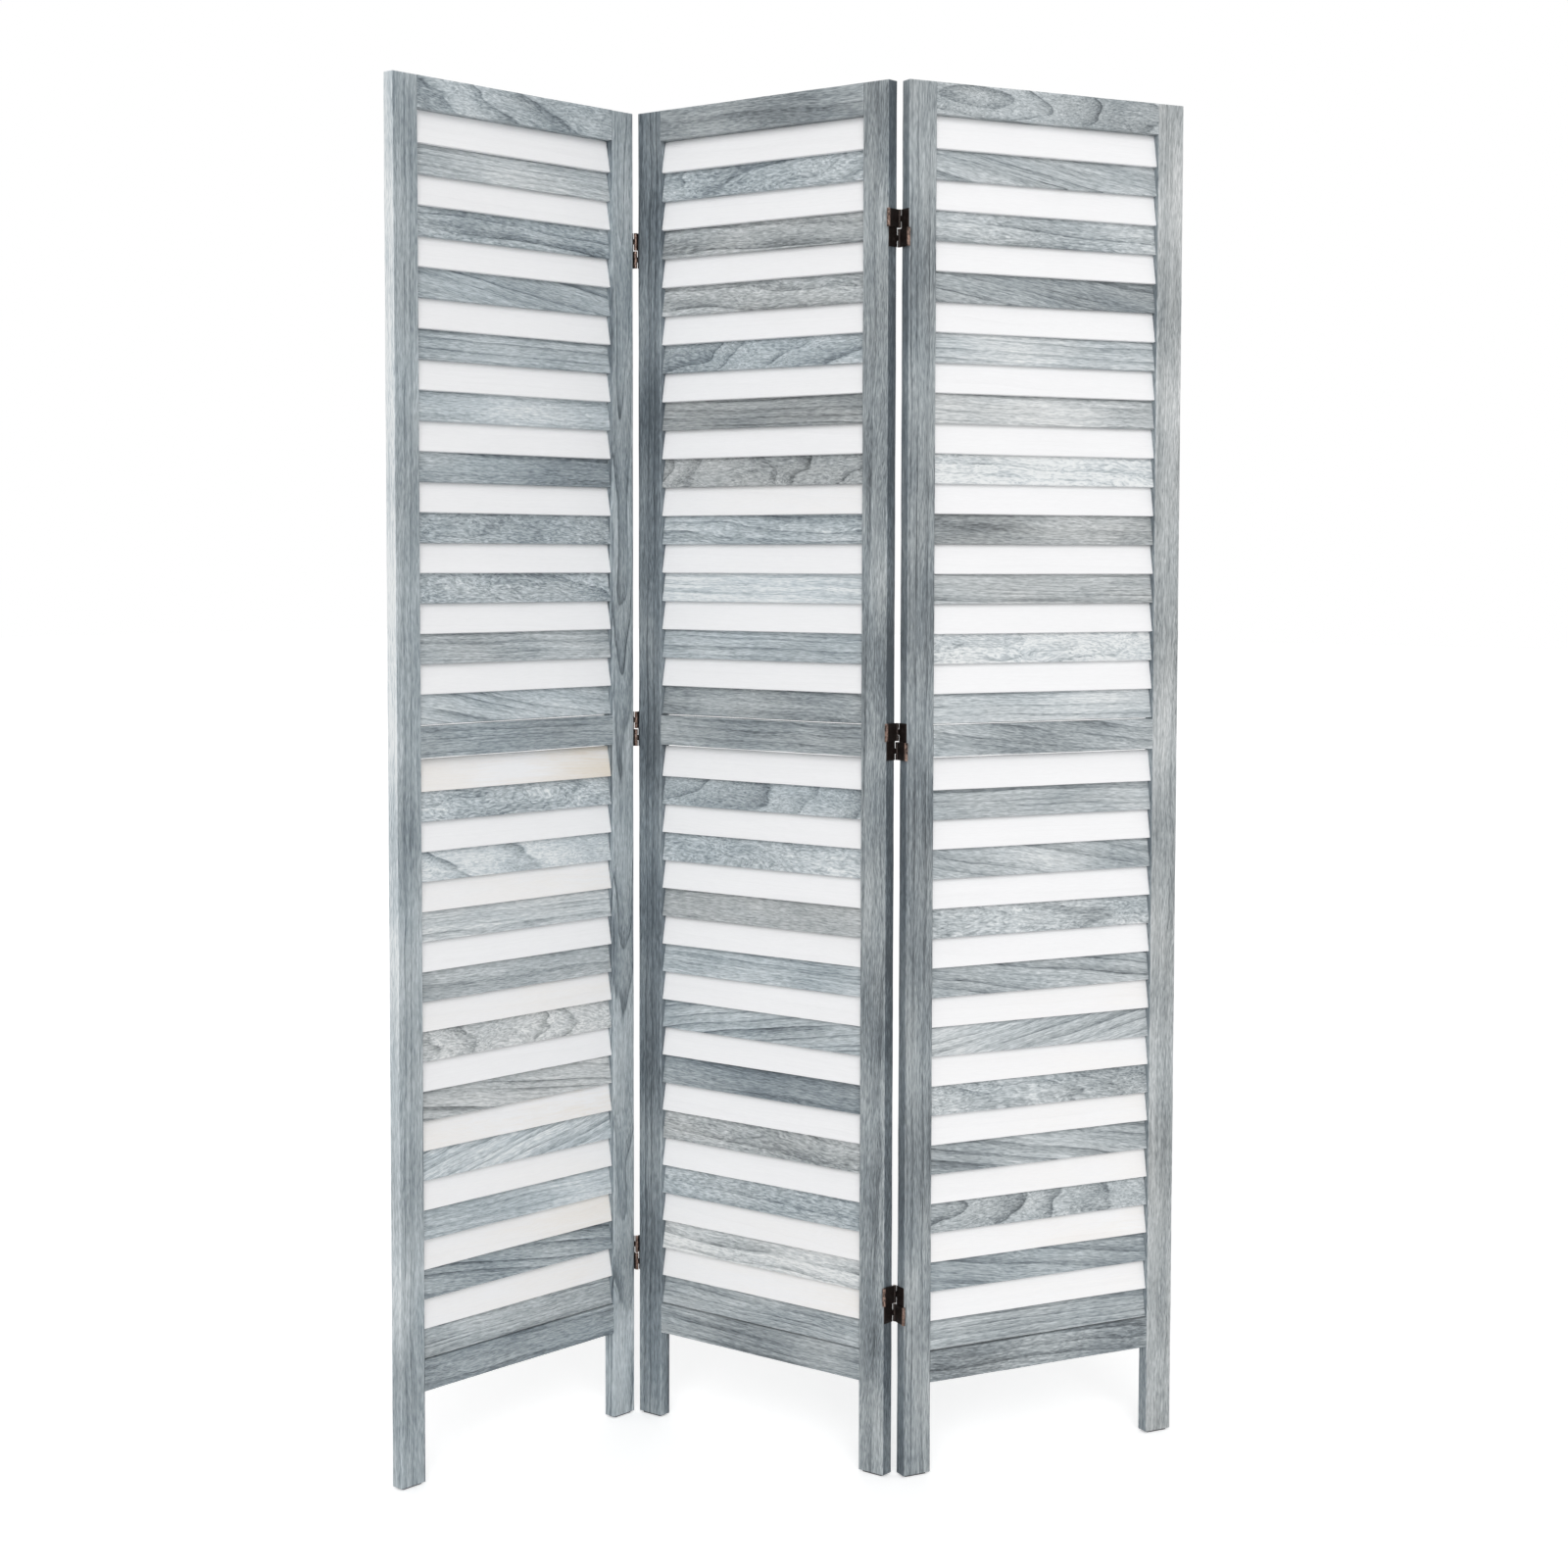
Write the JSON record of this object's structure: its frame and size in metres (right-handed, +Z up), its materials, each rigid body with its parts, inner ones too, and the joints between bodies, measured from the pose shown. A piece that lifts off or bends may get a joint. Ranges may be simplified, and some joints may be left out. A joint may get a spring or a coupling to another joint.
{
  "type": "folding screen room divider",
  "caption": "Free-standing louvred folding screen: grey-washed frames with alternating white and grey fixed slats, on double-action hinges that let the outer panels fold flat.",
  "frame": {"origin": "centre of the underside of the bounding box, on the floor, with the screen standing as in the picture", "axes": "+Z up; the middle panel lies along X and its front faces -Y"},
  "size_m": [0.626, 0.7896, 1.7],
  "materials": {
    "grey_washed_wood": "matte grey wash",
    "white_washed_wood": "matte white wash",
    "antique_bronze": "satin antique bronze",
    "hinge_pin": "worn satin",
    "felt_pad": "felt"
  },
  "bodies": {
    "middle_panel": {"left_hinge_middle_leaves": "antique_bronze", "left_hinge_upper_links": "antique_bronze", "left_hinge_upper_pins": "hinge_pin", "middle_panel_bottom_rail": "grey_washed_wood", "middle_panel_left_foot_pad": "felt_pad", "middle_panel_left_stile": "grey_washed_wood", "middle_panel_lower_grey_slats": "grey_washed_wood", "middle_panel_lower_white_slats": "white_washed_wood", "middle_panel_middle_rail": "grey_washed_wood", "middle_panel_right_foot_pad": "felt_pad", "middle_panel_right_stile": "grey_washed_wood", "middle_panel_top_rail": "grey_washed_wood", "middle_panel_upper_grey_slats": "grey_washed_wood", "middle_panel_upper_white_slats": "white_washed_wood", "right_hinge_middle_leaves": "antique_bronze", "right_hinge_upper_links": "antique_bronze", "right_hinge_upper_pins": "hinge_pin"},
    "left_panel": {"left_hinge_lower_links": "antique_bronze", "left_hinge_lower_pins": "hinge_pin", "left_hinge_outer_leaves": "antique_bronze", "left_panel_bottom_rail": "grey_washed_wood", "left_panel_left_foot_pad": "felt_pad", "left_panel_left_stile": "grey_washed_wood", "left_panel_lower_grey_slats": "grey_washed_wood", "left_panel_lower_white_slats": "white_washed_wood", "left_panel_middle_rail": "grey_washed_wood", "left_panel_right_foot_pad": "felt_pad", "left_panel_right_stile": "grey_washed_wood", "left_panel_top_rail": "grey_washed_wood", "left_panel_upper_grey_slats": "grey_washed_wood", "left_panel_upper_white_slats": "white_washed_wood"},
    "right_panel": {"right_hinge_lower_links": "antique_bronze", "right_hinge_lower_pins": "hinge_pin", "right_hinge_outer_leaves": "antique_bronze", "right_panel_bottom_rail": "grey_washed_wood", "right_panel_left_foot_pad": "felt_pad", "right_panel_left_stile": "grey_washed_wood", "right_panel_lower_grey_slats": "grey_washed_wood", "right_panel_lower_white_slats": "white_washed_wood", "right_panel_middle_rail": "grey_washed_wood", "right_panel_right_foot_pad": "felt_pad", "right_panel_right_stile": "grey_washed_wood", "right_panel_top_rail": "grey_washed_wood", "right_panel_upper_grey_slats": "grey_washed_wood", "right_panel_upper_white_slats": "white_washed_wood"}
  },
  "joints": [
    {"name": "left_panel_fold", "type": "hinge", "parent": "middle_panel", "child": "left_panel", "pos_m": [-0.27264, 0.00655, 0.85], "axis": [0, 0, 1], "range_deg": [-87, 93]},
    {"name": "right_panel_fold", "type": "hinge", "parent": "middle_panel", "child": "right_panel", "pos_m": [0.13176, 0.02855, 0.85], "axis": [0, 0, 1], "range_deg": [-66, 114]}
  ]
}
